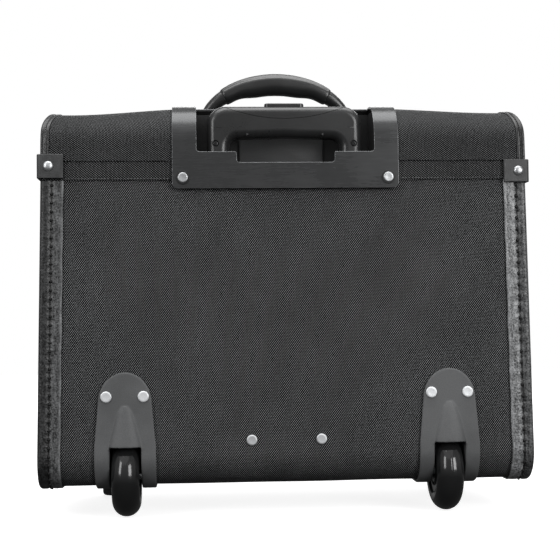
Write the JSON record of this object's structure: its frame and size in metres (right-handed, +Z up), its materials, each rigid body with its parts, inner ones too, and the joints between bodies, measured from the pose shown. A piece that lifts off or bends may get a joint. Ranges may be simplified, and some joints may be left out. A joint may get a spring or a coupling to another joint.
{
  "type": "pilot rolling flight case",
  "caption": "Upright nylon-covered pilot case on two rear wheels, with a hinged lid, front latches, folding carry handle and two-stage trolley handle.",
  "frame": {"origin": "on the floor, under the middle of the case's bounding box", "axes": "+X across the width, to the right when the wheeled rear is looked at; +Y from the wheeled rear to the latched front; +Z up"},
  "size_m": [0.461, 0.2434, 0.436],
  "materials": {
    "nylon_shell": "coarse black ballistic nylon weave",
    "webbing": "black woven tape",
    "leather_binding": "grained black leather-look binding, semi-gloss",
    "lining": "grey-black lining cloth on board",
    "painted_steel": "satin black powder coat",
    "plated_steel": "zinc-plated",
    "rivet_steel": "nickel-plated, lightly polished",
    "latch_chrome": "nickel-plated",
    "black_screw": "black oxide",
    "aluminium_tube": "satin anodised",
    "gloss_plastic": "glossy black moulding",
    "handle_plastic": "soft-touch black, slight sheen",
    "black_plastic": "matt black moulding",
    "grey_plastic": "dark grey fine-textured moulding",
    "tyre": "glossy black polyurethane"
  },
  "bodies": {
    "case": {"wrap_panel": "nylon_shell", "side_panel_left": "nylon_shell", "side_panel_right": "nylon_shell", "lid_rear_strip": "nylon_shell", "rear_hem_tape": "webbing", "edge_binding_left": "leather_binding", "edge_binding_right": "leather_binding", "corner_tab_left": "leather_binding", "corner_tab_right": "leather_binding", "rear_lining_board": "lining", "mouth_frame": "plated_steel", "trolley_bezel": "painted_steel", "trolley_well": "black_plastic", "tube_foot_block": "black_plastic", "front_foot_left": "black_plastic", "front_foot_right": "black_plastic", "outer_tube_left": "aluminium_tube", "outer_tube_right": "aluminium_tube", "wheel_housing_left": "grey_plastic", "wheel_housing_right": "grey_plastic", "axle_left": "plated_steel", "axle_right": "plated_steel", "tab_rivet_left": "rivet_steel", "tab_rivet_right": "rivet_steel", "bezel_rivet_left": "rivet_steel", "bezel_rivet_right": "rivet_steel", "base_rivet_left": "rivet_steel", "base_rivet_right": "rivet_steel", "wheel_rivet_left_1": "rivet_steel", "wheel_rivet_left_2": "rivet_steel", "wheel_rivet_right_1": "rivet_steel", "wheel_rivet_right_2": "rivet_steel", "latch_base_left": "latch_chrome", "latch_base_right": "latch_chrome"},
    "trolley_stage_1": {"middle_tube_left": "aluminium_tube", "middle_tube_right": "aluminium_tube"},
    "trolley_stage_2": {"inner_tube_left": "aluminium_tube", "inner_tube_right": "aluminium_tube", "trolley_grip": "gloss_plastic", "grip_top_cover": "gloss_plastic", "grip_screw_left": "black_screw", "grip_screw_right": "black_screw", "button_spring": "plated_steel"},
    "trolley_button": {"push_button": "gloss_plastic"},
    "lid": {"lid_panel": "nylon_shell", "handle_bracket_left": "painted_steel", "handle_bracket_right": "painted_steel", "hasp_hinge_left": "latch_chrome", "hasp_hinge_right": "latch_chrome"},
    "handle": {"carry_handle": "handle_plastic"},
    "hasp_left": {"latch_hasp_left": "latch_chrome"},
    "hasp_right": {"latch_hasp_right": "latch_chrome"},
    "release_left": {"latch_button_left": "latch_chrome"},
    "release_right": {"latch_button_right": "latch_chrome"},
    "wheel_left": {"tyre_left": "tyre", "hub_left": "black_plastic", "wheel_bearings_left": "plated_steel"},
    "wheel_right": {"tyre_right": "tyre", "hub_right": "black_plastic", "wheel_bearings_right": "plated_steel"}
  },
  "joints": [
    {"name": "trolley_stage_1_slide", "type": "slide", "parent": "case", "child": "trolley_stage_1", "axis": [0, 0, 1], "range_m": [0, 0.255]},
    {"name": "trolley_stage_2_slide", "type": "slide", "parent": "trolley_stage_1", "child": "trolley_stage_2", "axis": [0, 0, 1], "range_m": [0, 0.255]},
    {"name": "push_button_press", "type": "slide", "parent": "trolley_stage_2", "child": "trolley_button", "axis": [0, 0, -1], "range_m": [0, 0.003], "stiffness_N_per_m": 600, "springref_m": -0.001, "deforming": ["button_spring"]},
    {"name": "lid_hinge", "type": "hinge", "parent": "case", "child": "lid", "pos_m": [0, -0.057, 0.383], "axis": [1, 0, 0], "range_deg": [0, 92]},
    {"name": "carry_handle_fold", "type": "hinge", "parent": "lid", "child": "handle", "pos_m": [0, 0.025, 0.3905], "axis": [-1, 0, 0], "range_deg": [-75, 75]},
    {"name": "left_hasp_flip", "type": "hinge", "parent": "lid", "child": "hasp_left", "pos_m": [-0.135, 0.1172, 0.296], "axis": [1, 0, 0], "range_deg": [0, 100]},
    {"name": "right_hasp_flip", "type": "hinge", "parent": "lid", "child": "hasp_right", "pos_m": [0.135, 0.1172, 0.296], "axis": [1, 0, 0], "range_deg": [0, 100]},
    {"name": "left_latch_button_slide", "type": "slide", "parent": "case", "child": "release_left", "axis": [-1, 0, 0], "range_m": [0, 0.006], "stiffness_N_per_m": 300, "springref_m": -0.001},
    {"name": "right_latch_button_slide", "type": "slide", "parent": "case", "child": "release_right", "axis": [1, 0, 0], "range_m": [0, 0.006], "stiffness_N_per_m": 300, "springref_m": -0.001},
    {"name": "left_wheel_spin", "type": "hinge", "parent": "case", "child": "wheel_left", "pos_m": [-0.15, -0.0842, 0.0375], "axis": [1, 0, 0], "continuous": true},
    {"name": "right_wheel_spin", "type": "hinge", "parent": "case", "child": "wheel_right", "pos_m": [0.15, -0.0842, 0.0375], "axis": [1, 0, 0], "continuous": true}
  ]
}
